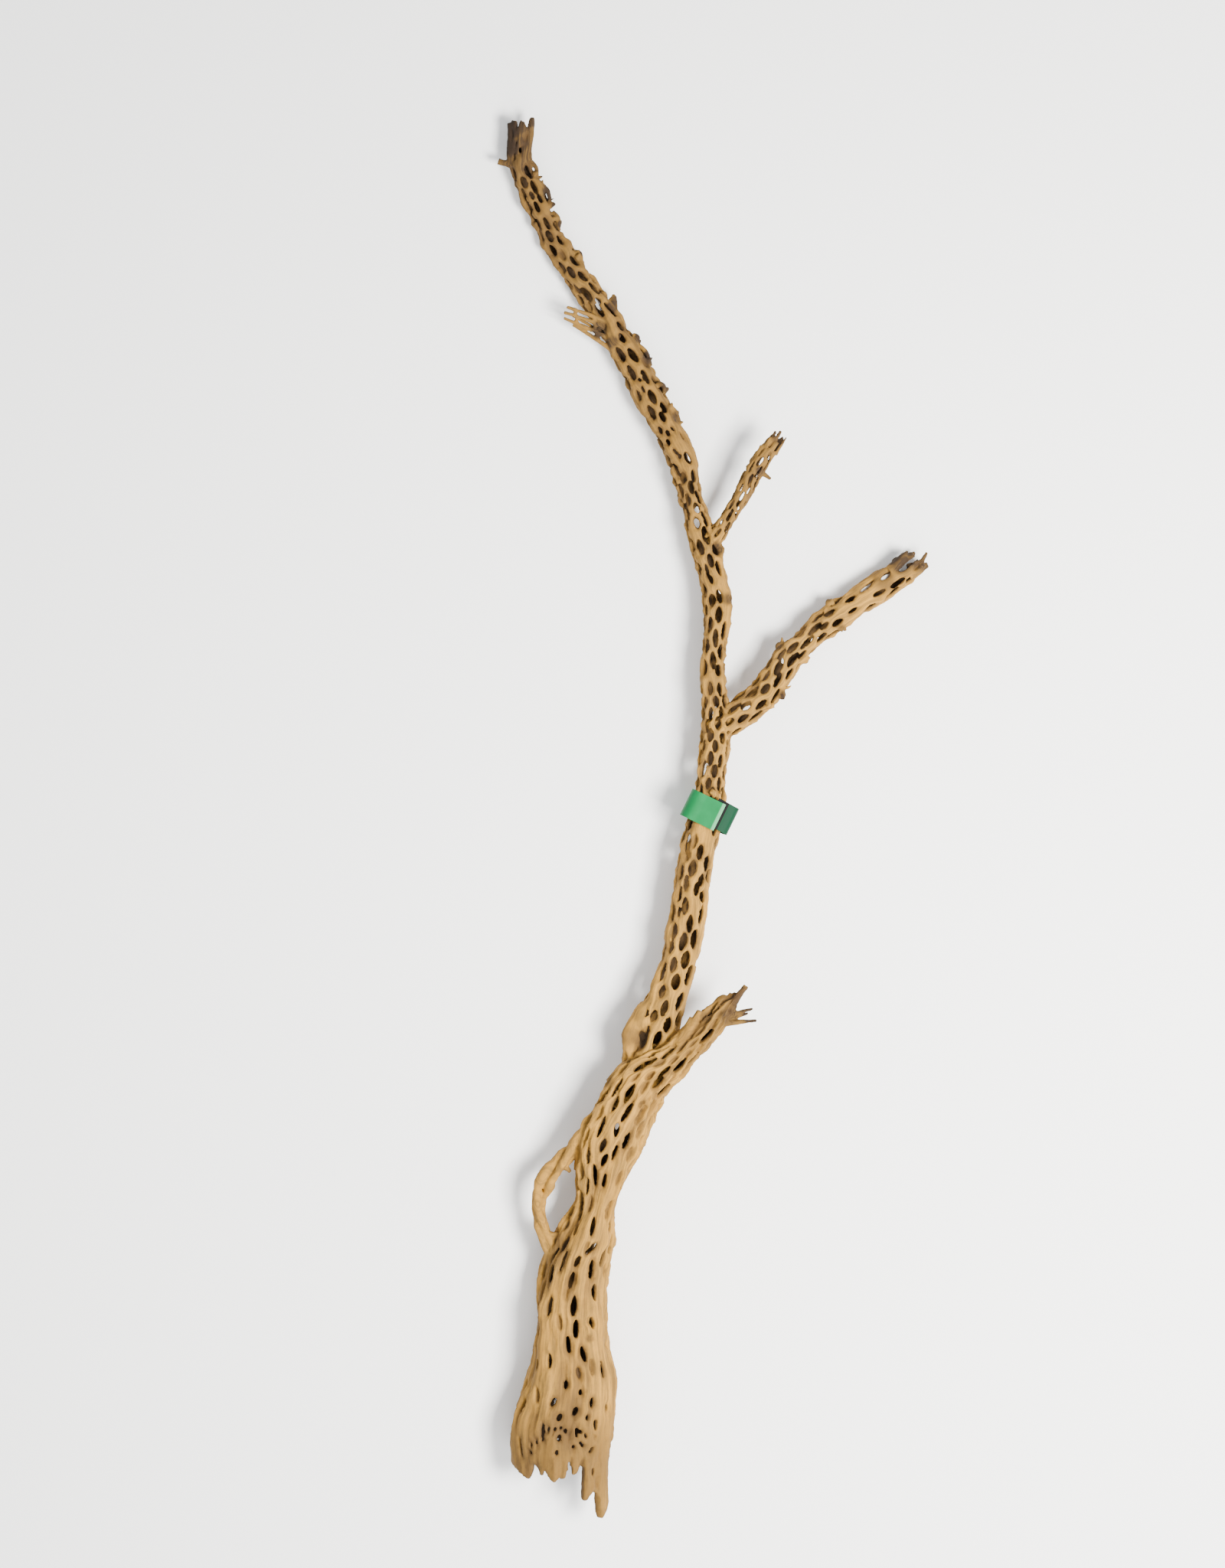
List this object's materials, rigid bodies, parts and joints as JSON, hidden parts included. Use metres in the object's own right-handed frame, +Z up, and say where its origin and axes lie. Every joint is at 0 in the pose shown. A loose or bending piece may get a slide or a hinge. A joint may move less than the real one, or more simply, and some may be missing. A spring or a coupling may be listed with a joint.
{
  "type": "dried cactus skeleton branch",
  "caption": "Long bent branch of hollow, netted driftwood with side branches, a burl, a loop and a jagged thick end, lying down, with a blank paper band round its stem.",
  "frame": {"origin": "on the surface that the branch lies on, under the middle of its outline", "axes": "+Z up, away from that surface; +Y along the branch, from the thick jagged end to the thin end"},
  "size_m": [0.5673, 1.8232, 0.1004],
  "materials": {
    "dry_wood": "dry, matt, weathered",
    "green_paper": "smooth coated paper"
  },
  "bodies": {
    "root": {"driftwood": "dry_wood", "paper_band": "green_paper"}
  },
  "joints": []
}
